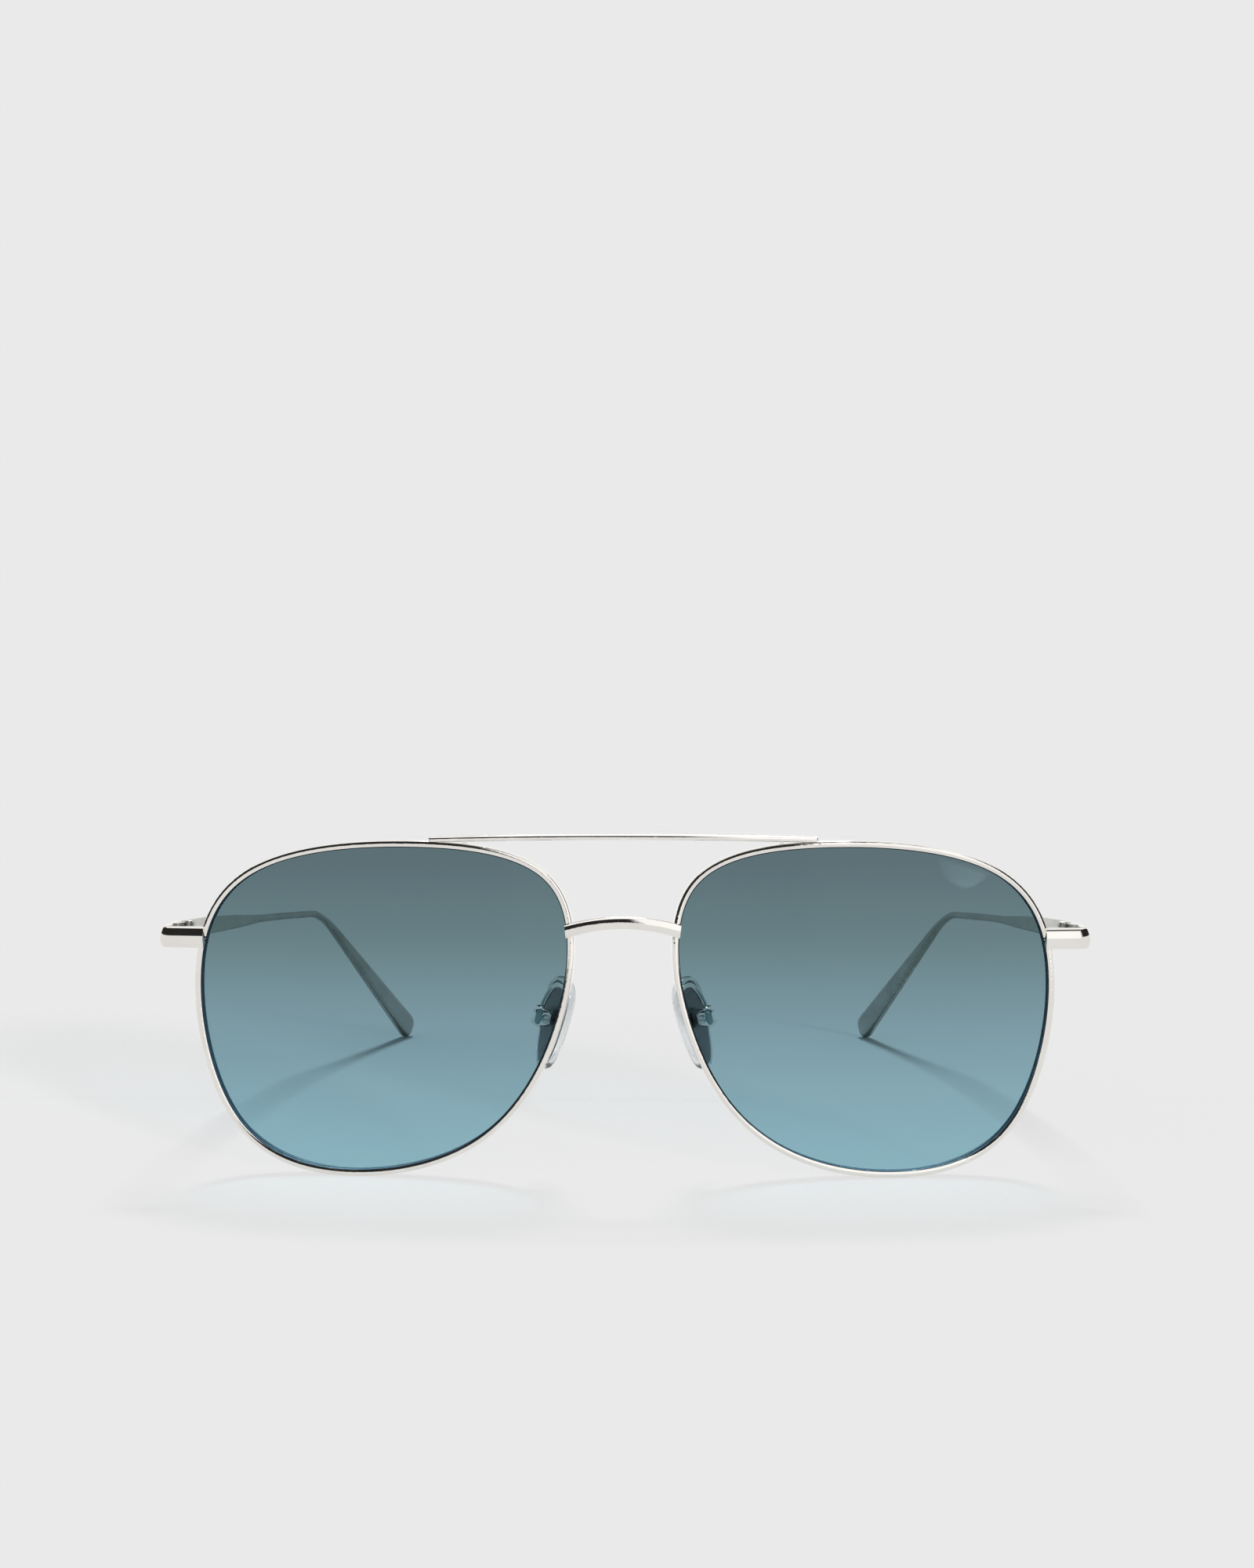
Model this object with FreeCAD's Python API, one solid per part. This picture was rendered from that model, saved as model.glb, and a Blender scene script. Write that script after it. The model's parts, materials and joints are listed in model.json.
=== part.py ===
"""Metal aviator sunglasses with a brow bar, standing on the rims and the temple tips.

Millimetres, +Z up. The wearer looks along -Y, so the wearer's left side is +X.
Everything is first built in the front's own frame, where y = 0 is the foremost
point of a lens's middle surface, and is moved back by FRONT_Y when it is written.
One side (+X) is modelled and mirrored to make the other.
"""

import FreeCAD
import Part

import math
import os

from FreeCAD import Placement, Rotation, Vector

PARTS = "parts"
X_AXIS = Vector(1, 0, 0)
Y_AXIS = Vector(0, 1, 0)
Z_AXIS = Vector(0, 0, 1)

# ---- driving dimensions -------------------------------------------------------------
FRONT_Y = -72.7  # puts the middle of the whole object's depth on y = 0

# Rims and lenses, in a lens's own frame (u to the temple, v up, about the lens centre)
LENS_CENTRE_X = 37.0
LENS_CENTRE_Z = 25.81
WRAP = 4.0  # degrees that each lens turns back towards the temple
LENS_RADIUS = 130.0  # base 4 curve
LENS_THICK = 2.0
RIM_POLES = [
    (32.0, 10.35),
    (26.3, -21.35),
    (6.8, -27.65),
    (-17.7, -22.75),
    (-29.6, -1.75),
    (-30.7, 23.35),
    (-5.1, 26.75),
    (21.4, 24.35),
]
RIM_WIDTH = 1.0  # seen from the front
RIM_CROWN = 0.8  # radius of its front face
RIM_EDGE = 0.2  # and of the edges beside it
RIM_FRONT = -1.1  # front and back of the rim, from the lens's middle surface
RIM_BACK = 1.9
GROOVE_DEEP = 0.45
GROOVE_HALF = 0.55
BEVEL_ROOT = 0.4  # where the lens's bevel starts, inside its edge
BEVEL_TIP_GAP = 0.1  # from the bevel to the groove's bottom
BEVEL_SIDE_GAP = 0.12
LENS_GAP = 0.03
SPLIT_GAP = 0.24  # where each rim opens behind its end piece

# Bridge and brow bar
BRIDGE_HALF = 9.9
BRIDGE_MID = (-0.75, 39.3, 1.85)  # y, z and height in the middle, and then at the ends
BRIDGE_END = (0.0, 37.5, 2.1)
BRIDGE_DEEP = 1.75
BRIDGE_CROWN = 1.7  # radius of its front face
BRIDGE_EDGE = 0.45
BRIDGE_STEPS = 8  # sections each side of the middle
BAR_HALF = 29.7
BAR_MID = (0.9, 52.2, 0.85)
BAR_END = (1.75, 51.77, 0.85)
BAR_DEEP = 1.5
BAR_CROWN = 0.65
BAR_EDGE = 0.3
BAR_TIP_ROUND = 0.28
BAR_STEPS = 10
FEET = ((23.8, 24.5), (28.2, 29.2))  # the bar's two feet on each rim, as pairs of x
FOOT_DEEP = 1.0
FOOT_BOTTOM = 50.4

# End piece: a bar over the rim, a round corner, and a leg back to the hinge
END_Z = 36.5
END_TALL = 3.25
END_THICK = 1.6
END_INNER_X = 64.7
END_INNER_Y = 3.95
END_OUTER_X = 72.1
END_CROWN = 3.1  # radius of its outer face, from top to bottom
END_EDGE = 0.4
END_SLOPE = 8.0
END_CORNER = 2.3
JOINT_Y = 14.0
JOINT_GAP = 0.05

# Rim lock behind the end piece
LOCK_X = 67.1
LOCK_Y = 6.35
LOCK_WIDE = 2.9
LOCK_DEEP = 2.6
LOCK_TALL = 1.25
LOCK_ROUND = 0.5
LOCK_SCREW_Y = 6.65
LOCK_SCREW_R = 0.5
LOCK_HEAD_R = 0.85
LOCK_HEAD_TALL = 0.45

# Hinge
HINGE_X = 69.35
HINGE_TILT = 4.0  # degrees: the pin stands square to the temple, which slopes down
BARREL_R = 1.0
BARREL_TALL = 0.8
WASHER_TALL = 0.15
WASHER_R = 0.95
PIN_R = 0.45
PIN_HOLE_R = 0.5
LEAF_THICK = 0.7
LEAF_LONG = 5.0
LEAF_GAP = 0.12  # from a leaf's end to the barrels
HEAD_R = 0.85
HEAD_TALL = 0.3

# All screws
HEAD_ROUND = 0.12
SLOT_WIDE = 0.22
SLOT_DEEP = 0.2
SHANK_GAP = 0.02
HOLE_REACH = 10.0  # how far cutting tools reach past what they cut

# Temple: centre line as (y, x, z), then its section
TEMPLE_X = 71.25
TEMPLE_START = (JOINT_Y, TEMPLE_X, END_Z)
TEMPLE_LINE = [
    (36.0, 70.75, 35.3),
    (56.0, 69.9, 34.05),
    (80.0, 68.0, 32.6),
]
TEMPLE_BEND = (112.0, 64.3, 30.4)
TEMPLE_TIP = (146.3, 50.2, 1.16)
BEND_RADIUS = 22.0
PLATE_TALL = 3.15
WIRE_SIZE = 1.4  # also the plate's thickness
PADDLE_TALL = 5.4
PADDLE_THICK = 2.2
NECK_END = 57.0  # distance along the centre line where the plate has become the wire
NECK_POWER = 2.5
PADDLE_LONG = 46.0
PLATE_CORNER = 0.3  # corner radius as a share of the thickness
WIRE_CORNER = 0.46
TIP_TALL_CLOSE = 0.96  # how nearly the height and the thickness close at the very tip
TIP_THICK_CLOSE = 0.85
TEMPLE_STEPS = (18, 8, 12)  # sections along the side, the bend and the drop
TIP_STEPS = 8

# Nose pad, in its own frame about the pad screw
PAD_PIVOT = Vector(12.8, 8.0, 23.9)
PAD_SPLAY = 30.0
PAD_FRONTAL = 14.5
PAD_VERTICAL = 6.0
PAD_TALL = 14.9
PAD_WIDE = 7.2
PAD_THICK = 2.0
PAD_TAPER = 0.25  # how much wider the top is, and narrower the bottom, as a share
PAD_POWER = 2.6  # of the outline: 2 is an ellipse
PAD_DROP = 0.9  # pad centre below the screw
PAD_OFF = 1.45  # pad back face from the screw
PAD_ROUND = 0.9
PAD_STEPS = 24
INSERT_THICK = 0.35
INSERT_TALL = 13.4
INSERT_WIDE = 5.8
INSERT_DEEP = 0.55  # its face under the pad's back
MOULD_GAP = 0.01  # between the pad and its insert
LUG_WIDE = 1.3
LUG_TALL = 1.7
LUG_ROOT = 0.7  # how far it runs into the pad
BOX_WIDE = 2.7
BOX_TALL = 3.3
BOX_DEEP = 1.5
BOX_ROUND = 1.0
BOX_LIP = 0.9  # how far its cheeks reach past the screw
BOX_GAP = 0.12  # beside and behind the lug
BOX_SWING = 0.3  # above and below the lug, so that the pad can rock
PAD_SCREW_R = 0.4
PAD_HOLE_R = 0.45
PAD_HEAD_R = 0.7
PAD_HEAD_TALL = 0.35
ARM_R = 0.4
ARM_LINE = [
    Vector(8.7, 2.5, 28.3),
    Vector(9.25, 3.9, 28.9),
    Vector(10.1, 5.3, 29.1),
    Vector(11.2, 6.6, 28.3),
    Vector(12.1, 7.4, 26.9),
    Vector(12.8, 7.9, 25.4),
]

# ---- helpers ------------------------------------------------------------------------


def sag(u, v):
    """Depth of the lens's middle surface behind its foremost point."""
    return LENS_RADIUS - math.sqrt(LENS_RADIUS**2 - u * u - v * v)


def rim_curve():
    """The rim's outer outline, as a closed cubic spline in the lens's frame."""
    curve = Part.BSplineCurve()
    poles = [Vector(u, 0, v) for u, v in RIM_POLES]
    knots = list(range(len(poles) + 1))
    curve.buildFromPolesMultsKnots(poles, [1] * len(knots), knots, True, 3)
    return curve


def outline_points(inset, count=64):
    """Points of the outline moved inwards by inset, each with its outward direction."""
    curve = rim_curve()
    last = curve.LastParameter
    found = []
    for i in range(count):
        t = last * i / count
        point = curve.value(t)
        along = curve.tangent(t)[0]
        outward = Vector(-along.z, 0, along.x)
        found.append((point - outward * inset, outward))
    return found


def closed_spline(points):
    """A closed smooth wire through the points."""
    curve = Part.BSplineCurve()
    curve.interpolate(Points=points, PeriodicFlag=True)
    return Part.Wire([curve.toShape()])


def on_lens(point, depth=0.0):
    """The point laid on the lens's middle surface, depth behind it."""
    return Vector(point.x, sag(point.x, point.z) + depth, point.z)


def opening_sweep(profile):
    """A ring whose section is profile, as (outwards, back) from the lens opening.

    Each step of the profile is the next corner, or a point on an arc and the arc's end.
    """
    points = outline_points(RIM_WIDTH)
    spine = closed_spline([on_lens(p) for p, _ in points])
    start, outward = points[0]
    start = on_lens(start)

    def at(pair):
        return start + outward * pair[0] + Y_AXIS * pair[1]

    edges = []
    here = at(profile[0])
    for step in profile[1:] + profile[:1]:
        if isinstance(step[0], tuple):
            there = at(step[1])
            edges.append(Part.Arc(here, at(step[0]), there).toShape())
        else:
            there = at(step)
            edges.append(Part.LineSegment(here, there).toShape())
        here = there
    pipe = Part.BRepOffsetAPI.MakePipeShell(spine)
    pipe.setBiNormalMode(Y_AXIS)
    pipe.add(Part.Wire(edges), False, False)
    pipe.build()
    pipe.makeSolid()
    return tidy(pipe.shape())


def tidy(shape):
    """The shape's solids, each turned the right way out."""
    solids = []
    for solid in shape.Solids:
        if solid.Volume < 0:
            solid.reverse()
        solids.append(solid)
    return solids[0] if len(solids) == 1 else Part.makeCompound(solids)


def biggest(shape):
    """The largest solid of a cut or a common."""
    return max(shape.Solids, key=lambda solid: solid.Volume)


def opening_prism(inset, low=-12.0, high=20.0):
    """The space through a lens opening, in the lens's frame."""
    wire = closed_spline([p + Y_AXIS * low for p, _ in outline_points(inset)])
    return Part.Face(wire).extrude(Y_AXIS * (high - low))


def place_lens(shape):
    """Takes a shape from the lens's frame to the front's frame, on the +X side."""
    placed = shape.copy()
    placed.rotate(Vector(0, 0, 0), Z_AXIS, WRAP)
    placed.translate(Vector(LENS_CENTRE_X, 0, LENS_CENTRE_Z))
    return placed


def mirror_x(shape):
    """The same piece for the -X side."""
    return tidy(shape.mirror(Vector(0, 0, 0), X_AXIS))


def cylinder(radius, low, high):
    """A cylinder of that radius from point low to point high."""
    along = high - low
    return Part.makeCylinder(radius, along.Length, low, along)


def block(x, y, z):
    """A box between the pairs x, y and z."""
    size = [b - a for a, b in (x, y, z)]
    return Part.makeBox(size[0], size[1], size[2], Vector(x[0], y[0], z[0]))


def rounded_section(centre, across, up, wide, tall, corner):
    """A rectangle with round corners, as a wire of four lines and four arcs."""
    a = wide / 2 - corner
    b = tall / 2 - corner
    lean = corner * math.sqrt(0.5)
    edges = []

    def at(x, y):
        return centre + across * x + up * y

    quarter = [(1, 1), (-1, 1), (-1, -1), (1, -1)]
    for i, (sx, sy) in enumerate(quarter):
        first = at(sx * (a + corner), sy * b)
        second = at(sx * a, sy * (b + corner))
        middle = at(sx * (a + lean), sy * (b + lean))
        if sx * sy < 0:
            first, second = second, first
        edges.append(Part.Arc(first, middle, second).toShape())
        nx, ny = quarter[(i + 1) % 4]
        following = at(nx * a, ny * (b + corner))
        if nx * ny > 0:
            following = at(nx * (a + corner), ny * b)
        edges.append(Part.LineSegment(second, following).toShape())
    return Part.Wire(edges)


def crown_points(half, radius, edge):
    """Points over a crowned face with round edges, as (across, behind the crown's top).

    They go from one side to the other: a corner, an arc's middle and end, and so on.
    """
    reach = math.sqrt((radius - edge) ** 2 - (half - edge) ** 2)
    share = radius / (radius - edge)
    turn = ((half - edge) * share, radius - reach * share)
    lean = Vector(half - edge, reach, 0).normalize() + X_AXIS
    lean.normalize()
    middle = (half - edge + edge * lean.x, radius - reach - edge * lean.y)
    side = (half, radius - reach)
    before = [(-across, behind) for across, behind in (side, middle, turn)]
    return before + [(0, 0), turn, middle, side]


def crowned_section(centre, outward, up, thick, tall, crown, edge):
    """A bar's section: a crowned outer face and a flat inner one, all edges round."""
    outer = thick / 2
    half = tall / 2
    lean = edge * (1 - math.sqrt(0.5))

    def at(out, height):
        return centre + outward * out + up * height

    face = [at(outer - behind, across) for across, behind in crown_points(half, crown, edge)]
    back = [
        at(edge - outer, half),
        at(lean - outer, half - lean),
        at(-outer, half - edge),
        at(-outer, edge - half),
        at(lean - outer, lean - half),
        at(edge - outer, -half),
    ]
    edges = [
        Part.Arc(*face[0:3]),
        Part.Arc(*face[2:5]),
        Part.Arc(*face[4:7]),
        Part.LineSegment(face[6], back[0]),
        Part.Arc(*back[0:3]),
        Part.LineSegment(back[2], back[3]),
        Part.Arc(*back[3:6]),
        Part.LineSegment(back[5], face[0]),
    ]
    return Part.Wire([piece.toShape() for piece in edges])


def arched_bar(half, mid, end, deep, crown, edge, steps):
    """A crowned bar across x = 0, arched along parabolas from mid to end, each (y, z, height)."""
    sections = []
    for i in range(-steps, steps + 1):
        x = half * i / steps
        y, z, tall = [a + (b - a) * (x / half) ** 2 for a, b in zip(mid, end)]
        slope = 2 * (end[1] - mid[1]) * x / half**2
        up = Vector(-slope, 0, 1).normalize()
        sections.append(crowned_section(Vector(x, y, z), -Y_AXIS, up, deep, tall, crown, edge))
    return Part.makeLoft(sections, True, False)


def slotted_screw(radius, head_radius, head_tall, low, high):
    """A plain shank from point low to point high, where its slotted head begins."""
    along = (high - low).normalize()
    top = high + along * head_tall
    head = cylinder(head_radius, high, top)
    rim = [e for e in head.Edges if (e.BoundBox.Center - top).Length < 0.01]
    head = head.makeFillet(HEAD_ROUND, rim)
    half = SLOT_WIDE / 2
    slot = block((-HOLE_REACH, HOLE_REACH), (-half, half), (-SLOT_DEEP, HOLE_REACH))
    slot.Placement = Placement(top, Rotation(Z_AXIS, along))
    screw = cylinder(radius, low, high).fuse(head).removeSplitter()
    return biggest(screw.cut(slot))


# ---- rims and lenses ----------------------------------------------------------------


def make_rim():
    """An eye wire with a crowned front, a round back and a V groove, split at the lock."""
    bead = RIM_WIDTH / 2
    front = [(bead + across, RIM_FRONT + behind)
             for across, behind in crown_points(bead, RIM_CROWN, RIM_EDGE)]
    profile = [
        front[0],
        tuple(front[1:3]),
        tuple(front[3:5]),
        tuple(front[5:7]),
        (RIM_WIDTH, RIM_BACK - bead),
        ((bead, RIM_BACK), (0, RIM_BACK - bead)),
        (0, GROOVE_HALF),
        (GROOVE_DEEP, 0),
        (0, -GROOVE_HALF),
    ]
    ring = opening_sweep(profile)
    u = RIM_POLES[0][0]
    v = END_Z - LENS_CENTRE_Z
    gap = (v - SPLIT_GAP / 2, v + SPLIT_GAP / 2)
    split = block((u - HOLE_REACH, u + HOLE_REACH), (-HOLE_REACH, HOLE_REACH), gap)
    return place_lens(biggest(ring.cut(split)))


def make_lens():
    """A spherical shell cut to the opening, with a bevel that sits in the groove."""
    half = LENS_THICK / 2
    centre = Vector(0, LENS_RADIUS, 0)
    front = Part.makeSphere(LENS_RADIUS + half, centre)
    back = Part.makeSphere(LENS_RADIUS - half, centre)
    blank = opening_prism(RIM_WIDTH + LENS_GAP, -6.0, 14.0)
    body = biggest(blank.common(front).cut(back))
    side = GROOVE_HALF - BEVEL_SIDE_GAP
    bevel = [
        (-BEVEL_ROOT, -side),
        (-LENS_GAP, -side),
        (GROOVE_DEEP - BEVEL_TIP_GAP, 0),
        (-LENS_GAP, side),
        (-BEVEL_ROOT, side),
    ]
    return place_lens(tidy(body.fuse(opening_sweep(bevel))))


# ---- bridge and brow bar ------------------------------------------------------------


def make_bridge(rims, openings):
    """An arched bar over the noses of both rims, ending at the lens openings."""
    bar = arched_bar(
        BRIDGE_HALF, BRIDGE_MID, BRIDGE_END, BRIDGE_DEEP, BRIDGE_CROWN, BRIDGE_EDGE, BRIDGE_STEPS)
    for piece in rims + openings:
        bar = biggest(bar.cut(piece))
    return bar


def make_brow_bar(rims):
    """A thin bar across the tops of both rims, with a short foot over each rim."""
    bar = arched_bar(BAR_HALF, BAR_MID, BAR_END, BAR_DEEP, BAR_CROWN, BAR_EDGE, BAR_STEPS)
    bar = bar.makeFillet(BAR_TIP_ROUND, [e for e in bar.Edges if e.BoundBox.XLength < 0.2])
    end_y, end_z, _ = BAR_END
    for side in (-1, 1):
        for foot in FEET:
            x = sorted(side * edge for edge in foot)
            y = (end_y - FOOT_DEEP / 2, end_y + FOOT_DEEP / 2)
            bar = bar.fuse(block(x, y, (FOOT_BOTTOM, end_z)))
    for piece in rims:
        bar = biggest(bar.cut(piece))
    return bar


# ---- end piece, rim lock and hinge --------------------------------------------------


def make_end_piece(rim, opening):
    """A bar from the lens opening outwards, a round corner and a leg to the hinge."""
    slope = math.tan(math.radians(END_SLOPE))
    outer_y = END_INNER_Y + slope * (END_OUTER_X - END_THICK / 2 - END_INNER_X)
    inner = Vector(END_INNER_X, END_INNER_Y, END_Z)
    corner = Vector(END_OUTER_X - END_THICK / 2, outer_y, END_Z)
    rear = Vector(corner.x, JOINT_Y + END_THICK, END_Z)
    path = round_corner([inner, corner, rear], END_CORNER - END_THICK / 2)
    turn = path[1].Vertexes[0].Point
    along = (turn - inner).normalize()
    outward = Vector(along.y, -along.x, 0)
    size = (END_THICK, END_TALL, END_CROWN, END_EDGE)
    bar = Part.Face(crowned_section(inner, outward, Z_AXIS, *size)).extrude(turn - inner)
    pipe = Part.BRepOffsetAPI.MakePipeShell(Part.Wire(path[1:]))
    pipe.setBiNormalMode(Z_AXIS)
    pipe.add(crowned_section(turn, outward, Z_AXIS, *size), False, False)
    pipe.build()
    pipe.makeSolid()
    bar = bar.fuse(tidy(pipe.shape())).removeSplitter()
    behind = block(
        (END_OUTER_X - HOLE_REACH, END_OUTER_X + HOLE_REACH),
        (JOINT_Y - JOINT_GAP, JOINT_Y + HOLE_REACH),
        (END_Z - HOLE_REACH, END_Z + HOLE_REACH),
    )
    return biggest(bar.cut(rim).cut(opening).cut(tilt_hinge(behind)))


def round_corner(points, radius):
    """Edges of straight runs joined by tangent arcs of that radius."""
    edges = []
    start = points[0]
    for before, corner, after in zip(points, points[1:], points[2:]):
        a = (before - corner).normalize()
        b = (after - corner).normalize()
        half = a.getAngle(b) / 2
        reach = radius / math.tan(half)
        first = corner + a * reach
        second = corner + b * reach
        inward = (a + b).normalize()
        middle = corner + inward * (radius / math.sin(half) - radius)
        edges.append(Part.LineSegment(start, first).toShape())
        edges.append(Part.Arc(first, middle, second).toShape())
        start = second
    edges.append(Part.LineSegment(start, points[-1]).toShape())
    return edges


def make_lock_block(upper, rim, end_piece):
    """Half of the rim lock: a small block soldered to one end of the split rim."""
    low = END_Z + SPLIT_GAP / 2 if upper else END_Z - SPLIT_GAP / 2 - LOCK_TALL
    x = (LOCK_X - LOCK_WIDE / 2, LOCK_X + LOCK_WIDE / 2)
    y = (LOCK_Y - LOCK_DEEP / 2, LOCK_Y + LOCK_DEEP / 2)
    body = block(x, y, (low, low + LOCK_TALL))
    rear = [e for e in body.Edges if e.Vertexes[0].Y > LOCK_Y and e.BoundBox.ZLength > LOCK_TALL / 2]
    body = body.makeFillet(LOCK_ROUND, rear)
    low_end = Vector(LOCK_X, LOCK_SCREW_Y, low - HOLE_REACH)
    high_end = Vector(LOCK_X, LOCK_SCREW_Y, low + HOLE_REACH)
    hole = cylinder(LOCK_SCREW_R, low_end, high_end)
    return biggest(biggest(body.cut(rim)).cut(end_piece).cut(hole))


def make_lock_screw():
    """The screw that closes the rim lock from below."""
    reach = SPLIT_GAP / 2 + LOCK_TALL
    bottom = Vector(LOCK_X, LOCK_SCREW_Y, END_Z - reach)
    top = Vector(LOCK_X, LOCK_SCREW_Y, END_Z + reach - SHANK_GAP)
    return slotted_screw(LOCK_SCREW_R - SHANK_GAP, LOCK_HEAD_R, LOCK_HEAD_TALL, top, bottom)


def barrel_heights():
    """Low and high z of the lower barrel, washer, middle barrel, washer and top barrel."""
    talls = [BARREL_TALL, WASHER_TALL, BARREL_TALL, WASHER_TALL, BARREL_TALL]
    z = END_Z - sum(talls) / 2
    heights = []
    for tall in talls:
        heights.append((z, z + tall))
        z += tall
    return heights


def tilt_hinge(shape):
    """Leans a shape built on an upright hinge axis to the true one."""
    leaned = shape.copy()
    leaned.rotate(Vector(HINGE_X, JOINT_Y, END_Z), X_AXIS, -HINGE_TILT)
    return leaned


def pin_line(low, high):
    """Two points on the hinge axis."""
    return Vector(HINGE_X, JOINT_Y, low), Vector(HINGE_X, JOINT_Y, high)


def hinge_leaf(inner_x, side, barrels):
    """A plate on the inner face at x, on the -y or +y side of the pin, and its barrels."""
    heights = barrel_heights()
    low, high = heights[0][0], heights[-1][1]
    x = (inner_x - LEAF_THICK, inner_x)
    near = JOINT_Y + side * (BARREL_R + LEAF_GAP)
    leaf = block(x, sorted((near, near + side * LEAF_LONG)), (low, high))
    for a, b in [heights[i] for i in barrels]:
        leaf = leaf.fuse(cylinder(BARREL_R, *pin_line(a, b)))
        leaf = leaf.fuse(block(x, sorted((JOINT_Y, near + side * LEAF_THICK)), (a, b)))
    leaf = leaf.removeSplitter()
    return tilt_hinge(leaf.cut(cylinder(PIN_HOLE_R, *pin_line(low - 1, high + 1))))


def make_hinge_front(end_piece):
    """The front leaf: a plate inside the end piece's leg with an outer barrel each end."""
    return biggest(hinge_leaf(END_OUTER_X - END_THICK, -1, (0, 4)).cut(end_piece))


def make_hinge_temple(temple):
    """The temple leaf: a plate inside the temple with the middle barrel."""
    return biggest(hinge_leaf(TEMPLE_X - WIRE_SIZE / 2, 1, (2,)).cut(temple))


def make_hinge_screw():
    """The hinge screw, through all barrels from above."""
    heights = barrel_heights()
    low, high = pin_line(heights[0][0], heights[-1][1])
    return tilt_hinge(slotted_screw(PIN_R, HEAD_R, HEAD_TALL, low, high))


def make_hinge_washers():
    """Two nylon washers, one each side of the middle barrel."""
    heights = barrel_heights()
    rings = []
    for a, b in (heights[1], heights[3]):
        ring = cylinder(WASHER_R, *pin_line(a + SHANK_GAP, b - SHANK_GAP))
        ring = ring.cut(cylinder(PIN_HOLE_R, *pin_line(a - 1, b + 1)))
        rings.append(tilt_hinge(ring.Solids[0]))
    return Part.makeCompound(rings)


# ---- temple -------------------------------------------------------------------------


def temple_path():
    """The temple's centre line: a gently curved side, a round bend and a straight drop."""
    side = [Vector(x, y, z) for y, x, z in [TEMPLE_START] + TEMPLE_LINE]
    bend = Vector(TEMPLE_BEND[1], TEMPLE_BEND[0], TEMPLE_BEND[2])
    tip = Vector(TEMPLE_TIP[1], TEMPLE_TIP[0], TEMPLE_TIP[2])
    before = (side[-1] - bend).normalize()
    after = (tip - bend).normalize()
    half = before.getAngle(after) / 2
    reach = BEND_RADIUS / math.tan(half)
    first = bend + before * reach
    second = bend + after * reach
    middle = bend + (before + after).normalize() * (BEND_RADIUS / math.sin(half) - BEND_RADIUS)
    curve = Part.BSplineCurve()
    tilt = math.radians(HINGE_TILT)
    onset = Vector(0, math.cos(tilt), -math.sin(tilt))
    curve.interpolate(Points=side + [first], InitialTangent=onset, FinalTangent=-before)
    drop = Part.LineSegment(second, tip)
    return [piece.toShape() for piece in (curve, Part.Arc(first, middle, second), drop)]


def temple_section(along, total):
    """Height, thickness and corner radius at a distance along the temple's centre line."""
    neck = min(1.0, along / NECK_END) ** NECK_POWER
    tall = PLATE_TALL + (WIRE_SIZE - PLATE_TALL) * neck
    thick = WIRE_SIZE
    corner = PLATE_CORNER + (WIRE_CORNER - PLATE_CORNER) * neck
    share = (along - total + PADDLE_LONG) / PADDLE_LONG
    if share > 0:
        tall = WIRE_SIZE + (PADDLE_TALL - WIRE_SIZE) * share
        thick = WIRE_SIZE + (PADDLE_THICK - WIRE_SIZE) * share
    radius = PADDLE_TALL / 2
    past = (along - total + radius) / radius
    if past > 0:
        tall *= math.sqrt(1 - (TIP_TALL_CLOSE * past) ** 2)
        thick *= math.sqrt(1 - (TIP_THICK_CLOSE * past) ** 2)
    return tall, thick, corner * min(tall, thick)


def make_temple():
    """A flat plate that narrows to a wire, bends down behind the ear and ends in a paddle."""
    edges = temple_path()
    total = sum(edge.Length for edge in edges)
    radius = PADDLE_TALL / 2
    stations = []
    before = 0.0
    for edge, steps in zip(edges, TEMPLE_STEPS):
        reach = edge.Length if edge is not edges[-1] else edge.Length - radius
        stations += [(edge, reach * i / steps, before) for i in range(steps)]
        before += edge.Length
    for i in range(TIP_STEPS + 1):
        turn = math.sin(math.pi / 2 * i / TIP_STEPS)
        last = edges[-1].Length
        stations.append((edges[-1], last - radius * (1 - turn), total - last))
    sections = []
    for edge, within, before in stations:
        t = edge.getParameterByLength(within)
        along = edge.tangentAt(t)
        side = along.cross(Z_AXIS).normalize()
        up = side.cross(along).normalize()
        tall, thick, corner = temple_section(before + within, total)
        sections.append(rounded_section(edge.valueAt(t), side, up, thick, tall, corner))
    return tidy(Part.makeLoft(sections, True, False))


# ---- nose pad -----------------------------------------------------------------------


def pad_frame():
    """Axes of the pad: t towards the front along the screw, n to the nose, a up."""
    turn = Rotation(Y_AXIS, -PAD_FRONTAL)
    turn = turn.multiply(Rotation(X_AXIS, PAD_VERTICAL))
    turn = turn.multiply(Rotation(Z_AXIS, -PAD_SPLAY))
    return turn


def place_pad(shape):
    """Takes a shape from the pad's frame (x away from the nose, y back, z up) to the front."""
    placed = shape.copy()
    placed.Placement = Placement(PAD_PIVOT, pad_frame()).multiply(placed.Placement)
    return placed


def oval(wide, tall, x, centre_z, thick):
    """A rounded plate, wider at the top, whose thickness runs along -x from x."""
    curve = []
    for i in range(PAD_STEPS):
        angle = 2 * math.pi * i / PAD_STEPS
        c, s = math.cos(angle), math.sin(angle)
        across = math.copysign(abs(c) ** (2 / PAD_POWER), c)
        height = math.copysign(abs(s) ** (2 / PAD_POWER), s)
        y = across * (1 + PAD_TAPER * height) * wide / 2
        curve.append(Vector(x, y, centre_z + height * tall / 2))
    return Part.Face(closed_spline(curve)).extrude(Vector(-thick, 0, 0))


def insert_plate(grow=0.0):
    """The flat plate inside the pad."""
    back = -PAD_OFF - INSERT_DEEP + grow
    wide, tall, thick = [size + 2 * grow for size in (INSERT_WIDE, INSERT_TALL, INSERT_THICK)]
    return oval(wide, tall, back, -PAD_DROP, thick)


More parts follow.
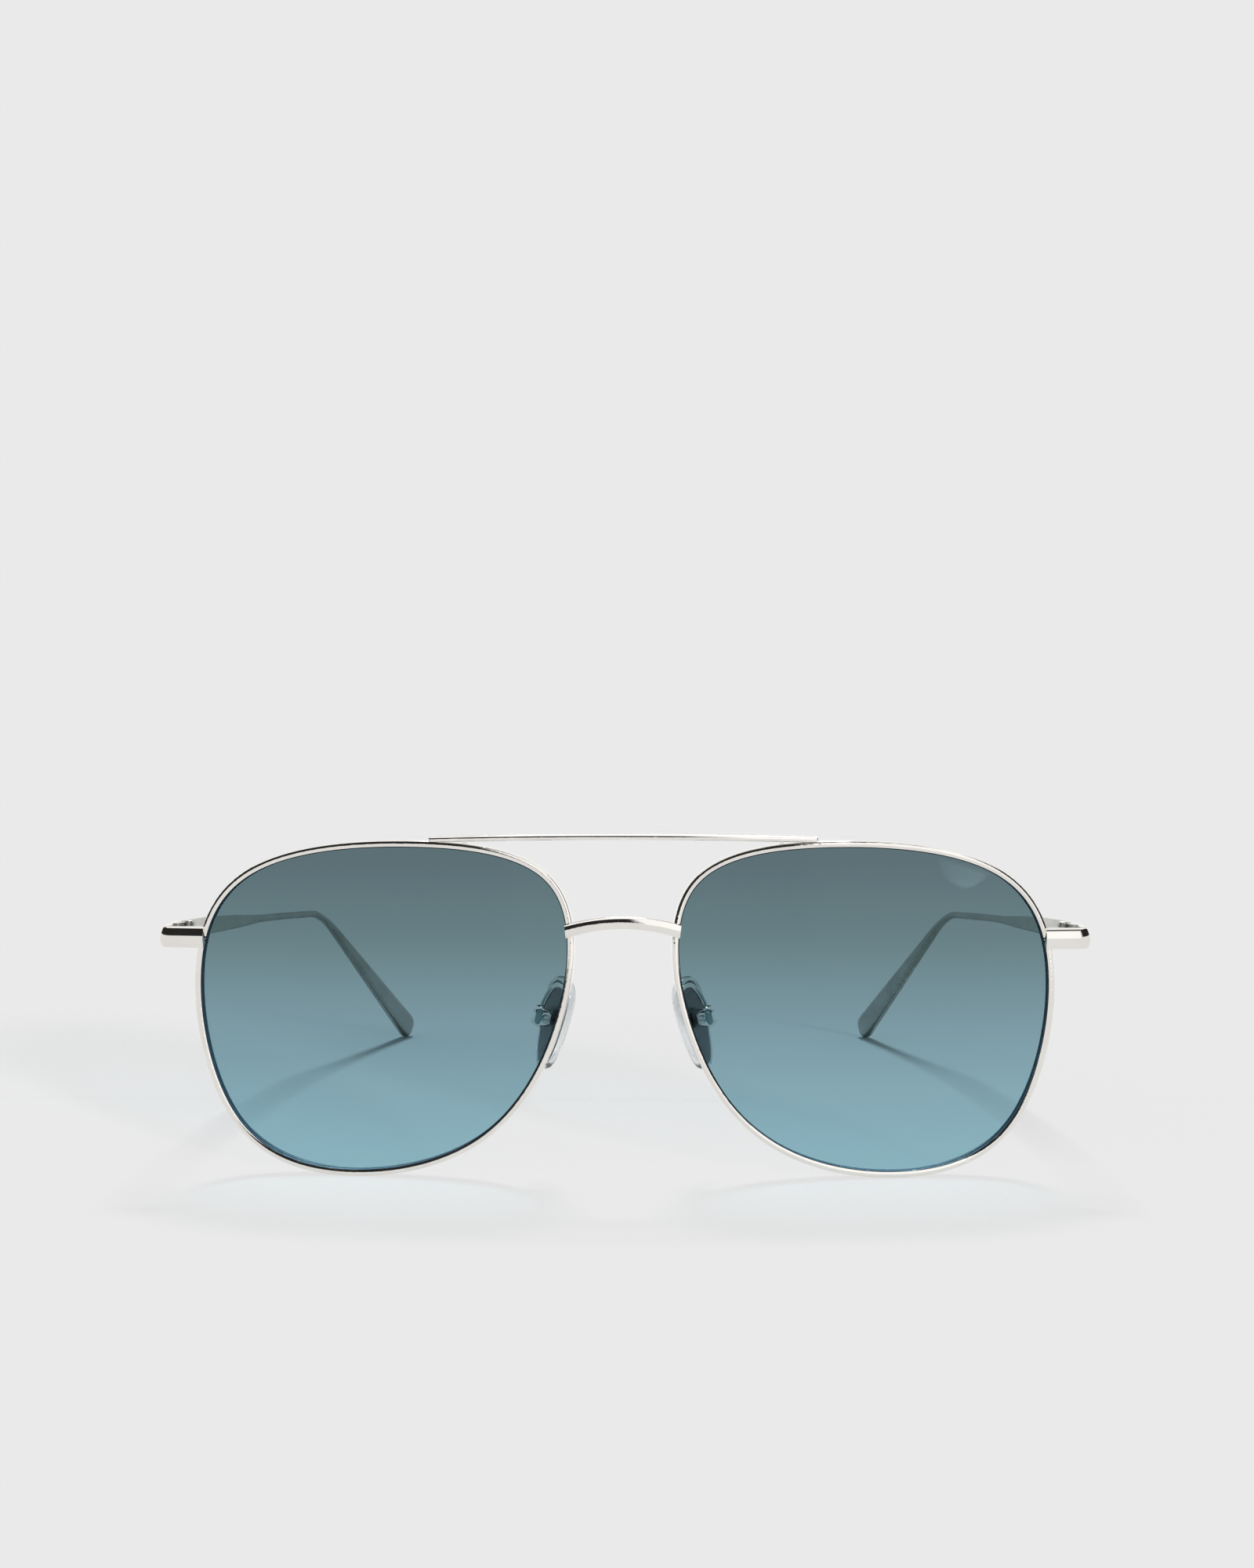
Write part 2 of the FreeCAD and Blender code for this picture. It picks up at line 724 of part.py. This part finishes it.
def insert_lug(grow=0.0):
    """The lug that stands out of the pad's back, up to the pad screw."""
    y = (-LUG_WIDE / 2 - grow, LUG_WIDE / 2 + grow)
    z = (-LUG_TALL / 2 - grow, LUG_TALL / 2 + grow)
    neck = block((-PAD_OFF - LUG_ROOT, 0), y, z)
    round_end = cylinder(LUG_TALL / 2 + grow, Y_AXIS * y[0], Y_AXIS * y[1])
    return neck.fuse(round_end).removeSplitter()


def make_pad_insert():
    """Plate and lug in one piece, with the screw hole."""
    hole = cylinder(PAD_HOLE_R, Y_AXIS * -BOX_WIDE, Y_AXIS * BOX_WIDE)
    return place_pad(biggest(insert_plate().fuse(insert_lug()).cut(hole)))


def make_nose_pad():
    """A soft clear pad with round edges, moulded over its insert."""
    body = oval(PAD_WIDE, PAD_TALL, -PAD_OFF, -PAD_DROP, PAD_THICK)
    rims = [e for e in body.Edges if e.BoundBox.XLength < 0.01]
    body = body.makeFillet(PAD_ROUND, rims)
    body = body.cut(insert_plate(MOULD_GAP)).cut(insert_lug(MOULD_GAP))
    return place_pad(biggest(body))


def make_pad_box(arm):
    """A cup with a round back that holds the lug between two cheeks."""
    wide, tall = BOX_WIDE / 2, BOX_TALL / 2
    body = block((-BOX_LIP, BOX_DEEP), (-wide, wide), (-tall, tall))
    back = [e for e in body.Edges if e.BoundBox.XMin > BOX_DEEP - 0.01]
    sides = [e for e in body.Edges if e.BoundBox.XLength > 1]
    body = body.makeFillet(BOX_ROUND, back + sides)
    y = (-LUG_WIDE / 2 - BOX_GAP, LUG_WIDE / 2 + BOX_GAP)
    z = (-LUG_TALL / 2 - BOX_SWING, LUG_TALL / 2 + BOX_SWING)
    body = body.cut(block((-HOLE_REACH, LUG_TALL / 2 + BOX_GAP), y, z))
    hole = cylinder(PAD_SCREW_R + SHANK_GAP, Y_AXIS * -BOX_WIDE, Y_AXIS * BOX_WIDE)
    return biggest(place_pad(body.cut(hole)).cut(arm))


def make_pad_screw():
    """The screw across the box, its head towards the front."""
    wide = BOX_WIDE / 2
    low, high = Y_AXIS * (wide - SHANK_GAP), Y_AXIS * -wide
    return place_pad(slotted_screw(PAD_SCREW_R, PAD_HEAD_R, PAD_HEAD_TALL, low, high))


def make_pad_arm():
    """A bent wire from the back of the rim to the pad box."""
    curve = Part.BSplineCurve()
    curve.interpolate(Points=ARM_LINE)
    path = Part.Wire([curve.toShape()])
    start = curve.tangent(curve.FirstParameter)[0]
    circle = Part.Wire([Part.Circle(ARM_LINE[0], start, ARM_R).toShape()])
    return tidy(path.makePipeShell([circle], True, True))


# ---- assembly -----------------------------------------------------------------------


def side_pieces(opening):
    """Every piece of the +X side that has a mirrored twin."""
    rim = make_rim()
    end_piece = make_end_piece(rim, opening)
    arm = make_pad_arm()
    temple = make_temple()
    return {
        "rim": rim,
        "lens": make_lens(),
        "end_piece": end_piece,
        "rim_lock_upper": make_lock_block(True, rim, end_piece),
        "rim_lock_lower": make_lock_block(False, rim, end_piece),
        "rim_lock_screw": make_lock_screw(),
        "hinge_front": make_hinge_front(end_piece),
        "hinge_temple": make_hinge_temple(temple),
        "hinge_screw": make_hinge_screw(),
        "hinge_washers": make_hinge_washers(),
        "temple": temple,
        "nose_pad": make_nose_pad(),
        "pad_insert": make_pad_insert(),
        "pad_box": make_pad_box(arm),
        "pad_screw": make_pad_screw(),
        "pad_arm": biggest(arm.cut(rim)),
    }


def build():
    """Every node of the sunglasses by name, in the front's frame."""
    opening = place_lens(opening_prism(RIM_WIDTH))
    left = side_pieces(opening)
    nodes = {}
    for name, shape in left.items():
        nodes[name + "_left"] = shape
        nodes[name + "_right"] = mirror_x(shape)
    rims = [nodes["rim_left"], nodes["rim_right"]]
    nodes["bridge"] = make_bridge(rims, [opening, mirror_x(opening)])
    nodes["brow_bar"] = make_brow_bar(rims)
    return nodes


def main():
    os.makedirs(PARTS, exist_ok=True)
    whole = FreeCAD.BoundBox()
    for name, shape in sorted(build().items()):
        shape.translate(Vector(0, FRONT_Y, 0))
        whole.add(shape.BoundBox)
        state = "ok" if shape.isValid() else "NOT VALID"
        print(f"{name:22s} {state} solids {len(shape.Solids)} volume {shape.Volume:9.3f}")
        shape.exportStep(f"{PARTS}/{name}.step")
    print("x", round(whole.XMin, 2), round(whole.XMax, 2))
    print("y", round(whole.YMin, 2), round(whole.YMax, 2))
    print("z", round(whole.ZMin, 2), round(whole.ZMax, 2))


main()
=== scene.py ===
"""Looks, light and camera of the aviator sunglasses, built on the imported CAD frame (metres)."""
import json
import math

import bpy
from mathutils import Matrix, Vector


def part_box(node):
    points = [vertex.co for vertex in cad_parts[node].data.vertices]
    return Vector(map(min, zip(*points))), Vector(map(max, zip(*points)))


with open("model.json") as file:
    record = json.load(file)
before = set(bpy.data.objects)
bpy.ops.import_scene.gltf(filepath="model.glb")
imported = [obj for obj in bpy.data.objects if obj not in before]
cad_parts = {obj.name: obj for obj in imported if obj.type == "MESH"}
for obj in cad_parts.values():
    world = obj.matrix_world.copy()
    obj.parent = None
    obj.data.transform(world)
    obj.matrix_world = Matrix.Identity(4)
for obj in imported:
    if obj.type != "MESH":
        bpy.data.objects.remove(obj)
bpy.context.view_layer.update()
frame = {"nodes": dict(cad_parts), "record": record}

MM = 0.001
MICRON = 1e-6
PALE = 0.8228                  # radiance of the floor and the backdrop, all channels

# Camera, from the middle of the front of the rims
CAMERA_SIDE = 6.0 * MM
CAMERA_BACK = 317.0 * MM
CAMERA_HEIGHT = 69.6 * MM
CAMERA_PITCH = 1.677           # degrees below the horizon
CAMERA_TURN = 0.97             # degrees to its left
CAMERA_LENS = 48.1             # millimetres, on a sensor 36 high
CAMERA_SENSOR = 36.0
CAMERA_NEAR = 0.01
CAMERA_FAR = 20.0

# Floor
FLOOR_FRONT = 600.0 * MM       # how far it reaches in front of the rims
FLOOR_BACK = 120.0 * MM        # and behind the middle of the object
FLOOR_SIDE = 600.0 * MM
FLOOR_ALBEDO = 0.32
FLOOR_GLOW = (                 # share of its light that takes no shadow, from rims to back
    (0.05, 0.86),
    (0.35, 0.0),
    (0.78, 0.0),
    (1.00, 1.0),
)

# Lamps: name, azimuth from behind to +X, elevation, share of the floor's light, spread
LAMPS = (
    ("key_left", -4.5, 54.0, 0.44, 7.0),
    ("key_right", 4.5, 54.0, 0.44, 7.0),
    ("low_right", 149.0, 15.0, 0.12, 8.0),
)
MIRRORED_FROM = 45.0           # lamps below this elevation don't show in the metal

# Panels that the metal mirrors, as (place, brightness). Heights run from 0 straight down
# to 1 straight up, and azimuths from 0 behind, through 0.5 in front, growing to +X there.
CEILING_AND_GROUND = ((0.52, 0.76), (0.54, 0.0), (0.84, 0.0), (0.87, 1.0))
FRONT_WIDE = ((0.508, 0.0), (0.518, 1.0), (0.60, 1.0), (0.62, 0.0))
FRONT_HIGH = ((0.78, 1.0), (0.80, 0.0))
SIDES_WIDE = ((0.175, 0.85), (0.19, 0.0), (0.81, 0.0), (0.825, 0.85))
BESIDE_REAR = ((0.05, 0.0), (0.07, 1.0), (0.93, 1.0), (0.95, 0.0))
REAR_HIGH = ((0.62, 1.0), (0.66, 0.0))
PANEL_DARK = 0.02
PANEL_BRIGHT = 1.1

# Noise. Its scales are cells to the metre, and what it drives follows its middle values
NOISE_ROUGH = 0.55
NOISE_MIDDLE = (0.3, 0.7)

# Metals: darkest and lightest colour, lowest and highest roughness, depth of the marks
METALS = {
    "polished_silver": ((0.86, 0.83, 0.79), (0.90, 0.875, 0.83), (0.035, 0.09), 0.2 * MICRON),
    "satin_silver": ((0.38, 0.38, 0.36), (0.46, 0.455, 0.43), (0.20, 0.28), 3.0 * MICRON),
    "screw_steel": ((0.60, 0.59, 0.57), (0.74, 0.73, 0.70), (0.22, 0.34), 2.0 * MICRON),
    # dark_core is the pads' metal core; its near-black colour is painted shade, for the dark that
    # the pads show from behind the lens
    "dark_core": ((0.09, 0.10, 0.11), (0.16, 0.17, 0.18), (0.15, 0.28), 1.0 * MICRON),
}
METAL_CLOUD = 180.0
METAL_CLOUD_MIDDLE = (0.35, 0.65)
METAL_SMEAR = 420.0
METAL_SMEAR_STRETCH = (1.0, 0.6, 1.6)
METAL_MARKS = 5200.0
METAL_MARKS_STRETCH = (1.0, 1.0, 4.0)

# Lens
LENS_TINT = (                  # from its bottom up
    (0.06, (0.312, 0.540, 0.622)),
    (0.23, (0.293, 0.492, 0.567)),
    (0.47, (0.240, 0.384, 0.442)),
    (0.70, (0.170, 0.270, 0.293)),
    (0.95, (0.130, 0.197, 0.220)),
)
LENS_IOR = 1.12                # low, so that coated faces hardly mirror
LENS_HAZE = 60.0
LENS_ROUGH = (0.0, 0.012)
LENS_SHADOW_GAMMA = 0.5        # lamps cross the tint as its square root
# the ground edge's colour: a dark tint of its own, made darker still as painted shade of the rim's
# groove
LENS_EDGE_SHADED = (0.012, 0.035, 0.06, 1.0)
LENS_EDGE_ROUGH = 0.55
LENS_EDGE_FACING = (0.75, 0.85)  # how far a face points forwards, from edge to lens

# Nose pads and washers
PAD_TINT = ((0.3, (0.80, 0.83, 0.84)), (0.7, (0.88, 0.90, 0.91)))
PAD_IOR = 1.30
PAD_CLOUD = 350.0
PAD_SMEAR = 900.0
PAD_ROUGH = (0.12, 0.22)
PAD_GRAIN = 1500.0
PAD_GRAIN_DEPTH = 1.0 * MICRON
NYLON_TINT = ((0.3, (0.82, 0.81, 0.77)), (0.7, (0.90, 0.89, 0.86)))
NYLON_ROUGH = 0.5
NYLON_CLOUD = 900.0
NYLON_GRAIN = 3000.0
NYLON_GRAIN_DEPTH = 3.0 * MICRON

SIDES = ("left", "right")


# ---------------------------------------------------------------- node helpers

def node(tree, kind, inputs=None, **settings):
    """A new node of a tree, with its settings and its unlinked inputs."""
    made = tree.nodes.new("ShaderNode" + kind)
    for name, value in settings.items():
        setattr(made, name, value)
    for name, value in (inputs or {}).items():
        made.inputs[name].default_value = value
    return made


def link(tree, source, socket, target, name):
    """Joins an output to an input. Each is given by its name or its number."""
    tree.links.new(source.outputs[socket], target.inputs[name])


def new_material(name):
    """A material with an empty node tree."""
    material = bpy.data.materials.new(name)
    material.use_nodes = True
    material.node_tree.nodes.clear()
    return material


def object_point(tree, scale=(1.0, 1.0, 1.0)):
    """The point in the object's own coordinates, stretched by scale."""
    place = node(tree, "TexCoord")
    mapping = node(tree, "Mapping", {"Scale": scale})
    link(tree, place, "Object", mapping, "Vector")
    return mapping


def noise(tree, point, scale, detail=3.0):
    """Soft noise, with scale cells to the metre."""
    made = node(tree, "TexNoise", {"Scale": scale, "Detail": detail, "Roughness": NOISE_ROUGH})
    link(tree, point, "Vector", made, "Vector")
    return made


def ramp(tree, source, socket, stops):
    """A colour ramp with (position, colour) stops, driven by a socket."""
    made = node(tree, "ValToRGB")
    elements = made.color_ramp.elements
    while len(elements) < len(stops):
        elements.new(0.5)
    for element, (position, colour) in zip(elements, stops):
        element.position = position
        element.color = (*colour, 1.0)
    link(tree, source, socket, made, "Fac")
    return made


def grey_ramp(tree, source, stops):
    """A ramp of (position, brightness) stops."""
    return ramp(tree, source, "Result", [(position, (level,) * 3) for position, level in stops])


def remap(tree, source, socket, low, high, from_low=NOISE_MIDDLE[0], from_high=NOISE_MIDDLE[1]):
    """A number that goes from low to high while the socket goes from from_low to from_high."""
    made = node(tree, "MapRange", {
        "From Min": from_low,
        "From Max": from_high,
        "To Min": low,
        "To Max": high,
    })
    link(tree, source, socket, made, "Value")
    return made


def bump(tree, source, socket, depth):
    """A bump whose relief is depth metres."""
    made = node(tree, "Bump", {"Strength": 1.0, "Distance": depth})
    link(tree, source, socket, made, "Height")
    return made


def combine(tree, operation, first, second):
    """A Math node on the first outputs of two nodes."""
    made = node(tree, "Math", operation=operation)
    link(tree, first, 0, made, 0)
    link(tree, second, 0, made, 1)
    return made


def mix_shaders(tree, share, socket, first, second):
    """The first shader, giving way to the second as the socket goes from 0 to 1."""
    mix = node(tree, "MixShader")
    link(tree, share, socket, mix, "Fac")
    link(tree, first, 0, mix, 1)
    link(tree, second, 0, mix, 2)
    return mix


# ---------------------------------------------------------------- materials

def metal(name):
    """Plating: faint cloudiness, smears that change the gloss, and fine polishing marks."""
    dark, light, roughness, mark_depth = METALS[name]
    material = new_material(name)
    tree = material.node_tree
    cloud = noise(tree, object_point(tree), METAL_CLOUD)
    colour = ramp(tree, cloud, "Fac", tuple(zip(METAL_CLOUD_MIDDLE, (dark, light))))
    smear = noise(tree, object_point(tree, METAL_SMEAR_STRETCH), METAL_SMEAR, detail=4.0)
    gloss = remap(tree, smear, "Fac", *roughness)
    marks = noise(tree, object_point(tree, METAL_MARKS_STRETCH), METAL_MARKS, detail=2.0)
    relief = bump(tree, marks, "Fac", mark_depth)
    shader = node(tree, "BsdfPrincipled", {"Metallic": 1.0})
    output = node(tree, "OutputMaterial")
    link(tree, colour, "Color", shader, "Base Color")
    link(tree, gloss, "Result", shader, "Roughness")
    link(tree, relief, "Normal", shader, "Normal")
    link(tree, shader, "BSDF", output, "Surface")
    return material


def see_through(tree, shader, tint):
    """The shader for sight, and clear film of the tint for the light that crosses it."""
    path = node(tree, "LightPath")
    film = node(tree, "BsdfTransparent")
    output = node(tree, "OutputMaterial")
    link(tree, tint, "Color", film, "Color")
    mix = mix_shaders(tree, path, "Is Shadow Ray", shader, film)
    link(tree, mix, "Shader", output, "Surface")


def edge_shade_mask(tree):
    """1 on the ground edge of a lens, whose surface faces outwards and which takes the painted
    shade, and 0 on its two faces.
    """
    place = node(tree, "TexCoord")
    split = node(tree, "SeparateXYZ")
    link(tree, place, "Normal", split, "Vector")
    facing = node(tree, "Math", operation="ABSOLUTE")
    link(tree, split, "Y", facing, 0)
    return remap(tree, facing, "Value", 1.0, 0.0, *LENS_EDGE_FACING)


def tinted_lens():
    """Glass with a blue-grey tint that is deepest at the top, and a ground edge whose dark colour
    is partly painted shade of the rim's groove.
    """
    material = new_material("tinted_lens")
    tree = material.node_tree
    low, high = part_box("lens_left")
    point = object_point(tree)
    split = node(tree, "SeparateXYZ")
    link(tree, point, "Vector", split, "Vector")
    height = remap(tree, split, "Z", 0.0, 1.0, low.z, high.z)
    tint = ramp(tree, height, "Result", LENS_TINT)
    root = node(tree, "Gamma", {"Gamma": LENS_SHADOW_GAMMA})
    link(tree, tint, "Color", root, "Color")
    gloss = remap(tree, noise(tree, point, LENS_HAZE), "Fac", *LENS_ROUGH)
    glass = node(tree, "BsdfPrincipled", {"Transmission Weight": 1.0, "IOR": LENS_IOR})
    link(tree, tint, "Color", glass, "Base Color")
    link(tree, gloss, "Result", glass, "Roughness")
    # the edge's very dark colour is painted shade: the shade inside the rim's groove, laid over
    # the edge's own dark tint
    shaded_edge = node(tree, "BsdfPrincipled", {"Base Color": LENS_EDGE_SHADED, "Roughness": LENS_EDGE_ROUGH})
    see_through(tree, mix_shaders(tree, edge_shade_mask(tree), "Result", glass, shaded_edge), root)
    return material


def clear_silicone():
    """Clear soft moulding, very slightly cloudy."""
    material = new_material("clear_silicone")
    tree = material.node_tree
    point = object_point(tree)
    colour = ramp(tree, noise(tree, point, PAD_CLOUD), "Fac", PAD_TINT)
    gloss = remap(tree, noise(tree, point, PAD_SMEAR), "Fac", *PAD_ROUGH)
    relief = bump(tree, noise(tree, point, PAD_GRAIN), "Fac", PAD_GRAIN_DEPTH)
    shader = node(tree, "BsdfPrincipled", {"Transmission Weight": 1.0, "IOR": PAD_IOR})
    link(tree, colour, "Color", shader, "Base Color")
    link(tree, gloss, "Result", shader, "Roughness")
    link(tree, relief, "Normal", shader, "Normal")
    see_through(tree, shader, colour)
    return material


def white_nylon():
    """Plain moulded nylon with a fine grain."""
    material = new_material("white_nylon")
    tree = material.node_tree
    point = object_point(tree)
    colour = ramp(tree, noise(tree, point, NYLON_CLOUD), "Fac", NYLON_TINT)
    relief = bump(tree, noise(tree, point, NYLON_GRAIN), "Fac", NYLON_GRAIN_DEPTH)
    shader = node(tree, "BsdfPrincipled", {"Roughness": NYLON_ROUGH})
    output = node(tree, "OutputMaterial")
    link(tree, colour, "Color", shader, "Base Color")
    link(tree, relief, "Normal", shader, "Normal")
    link(tree, shader, "BSDF", output, "Surface")
    return material


def dress():
    """Gives every CAD node the material of its slot."""
    made = {name: metal(name) for name in METALS}
    made["tinted_lens"] = tinted_lens()
    made["clear_silicone"] = clear_silicone()
    made["white_nylon"] = white_nylon()
    for part in frame["record"]["subparts"]:
        for place in frame["nodes"][part["node"]].material_slots:
            place.material = made[part["material_slot"]]


# ---------------------------------------------------------------- stage, light and camera

def make_floor(front):
    """A pale floor. Behind the rims its shadows are full, and in front of them they are faint."""
    corners = (
        (-FLOOR_SIDE, front - FLOOR_FRONT, 0.0),
        (FLOOR_SIDE, front - FLOOR_FRONT, 0.0),
        (FLOOR_SIDE, FLOOR_BACK, 0.0),
        (-FLOOR_SIDE, FLOOR_BACK, 0.0),
    )
    mesh = bpy.data.meshes.new("floor")
    mesh.from_pydata(corners, [], [(0, 1, 2, 3)])
    floor = bpy.data.objects.new("floor", mesh)
    bpy.context.scene.collection.objects.link(floor)
    material = new_material("floor")
    tree = material.node_tree
    split = node(tree, "SeparateXYZ")
    link(tree, object_point(tree), "Vector", split, "Vector")
    along = remap(tree, split, "Y", 0.0, 1.0, front, FLOOR_BACK)
    glow = grey_ramp(tree, along, FLOOR_GLOW)
    paper = node(tree, "BsdfDiffuse", {"Color": (FLOOR_ALBEDO, FLOOR_ALBEDO, FLOOR_ALBEDO, 1.0)})
    light = node(tree, "Emission", {"Color": (PALE, PALE, PALE, 1.0)})
    output = node(tree, "OutputMaterial")
    mix = mix_shaders(tree, glow, "Color", paper, light)
    link(tree, mix, "Shader", output, "Surface")
    mesh.materials.append(material)


def make_lights():
    """Two soft lamps above and behind, and a low one at the front right."""
    total = PALE * (1.0 - FLOOR_ALBEDO) / FLOOR_ALBEDO * math.pi
    for name, azimuth, elevation, share, spread in LAMPS:
        a, e = math.radians(azimuth), math.radians(elevation)
        towards = Vector((math.sin(a) * math.cos(e), math.cos(a) * math.cos(e), math.sin(e)))
        lamp = bpy.data.lights.new(name, "SUN")
        lamp.energy = total * share / math.sin(e)
        lamp.angle = math.radians(spread)
        item = bpy.data.objects.new(name, lamp)
        bpy.context.scene.collection.objects.link(item)
        item.rotation_euler = towards.to_track_quat("Z", "Y").to_euler()
        item.visible_glossy = elevation > MIRRORED_FROM


def around_and_up(tree):
    """Azimuth and height of a direction of the world, each from 0 to 1."""
    place = node(tree, "TexCoord")
    split = node(tree, "SeparateXYZ")
    link(tree, place, "Generated", split, "Vector")
    back = node(tree, "Math", operation="MULTIPLY")
    back.inputs[1].default_value = -1.0
    link(tree, split, "Y", back, 0)
    azimuth = node(tree, "Math", operation="ARCTAN2")
    link(tree, split, "X", azimuth, 0)
    link(tree, back, 0, azimuth, 1)
    around = remap(tree, azimuth, "Value", 0.0, 1.0, -math.pi, math.pi)
    height = remap(tree, split, "Z", 0.0, 1.0, -1.0, 1.0)
    return around, height


def studio_light(tree):
    """Brightness of the studio's panels in every direction."""
    around, height = around_and_up(tree)
    front = combine(
        tree, "MULTIPLY", grey_ramp(tree, around, FRONT_WIDE), grey_ramp(tree, height, FRONT_HIGH))
    rear = combine(
        tree, "MAXIMUM", grey_ramp(tree, around, BESIDE_REAR), grey_ramp(tree, height, REAR_HIGH))
    sides = combine(tree, "MULTIPLY", grey_ramp(tree, around, SIDES_WIDE), rear)
    panels = combine(tree, "MAXIMUM", front, sides)
    lit = combine(tree, "MAXIMUM", grey_ramp(tree, height, CEILING_AND_GROUND), panels)
    return remap(tree, lit, "Value", PANEL_DARK, PANEL_BRIGHT, 0.0, 1.0)


def make_world():
    """A pale backdrop for sight, and a studio of bright and dark panels for reflections."""
    world = bpy.data.worlds.new("studio")
    bpy.context.scene.world = world
    world.use_nodes = True
    tree = world.node_tree
    tree.nodes.clear()
    backdrop = node(tree, "Background", {"Color": (PALE, PALE, PALE, 1.0), "Strength": 1.0})
    panels = node(tree, "Background", {"Strength": 1.0})
    link(tree, studio_light(tree), "Result", panels, "Color")
    path = node(tree, "LightPath")
    mirrored = node(tree, "Math", operation="SUBTRACT", use_clamp=True)
    link(tree, path, "Is Glossy Ray", mirrored, 0)
    link(tree, path, "Is Transmission Ray", mirrored, 1)
    output = node(tree, "OutputWorld")
    mix = mix_shaders(tree, mirrored, "Value", backdrop, panels)
    link(tree, mix, "Shader", output, "Surface")


def make_camera(front):
    """The camera, in front of the rims and a little above them."""
    lens = bpy.data.cameras.new("camera")
    lens.lens = CAMERA_LENS
    lens.sensor_width = CAMERA_SENSOR
    lens.clip_start = CAMERA_NEAR
    lens.clip_end = CAMERA_FAR
    camera = bpy.data.objects.new("camera", lens)
    bpy.context.scene.collection.objects.link(camera)
    camera.location = (CAMERA_SIDE, front - CAMERA_BACK, CAMERA_HEIGHT)
    camera.rotation_euler = (math.radians(90.0 - CAMERA_PITCH), 0.0, math.radians(CAMERA_TURN))
    bpy.context.scene.camera = camera


rims_front = min(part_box("rim_" + side)[0].y for side in SIDES)
make_camera(rims_front)
dress()
make_floor(rims_front)
make_lights()
make_world()
bpy.context.scene.view_settings.view_transform = "Standard"
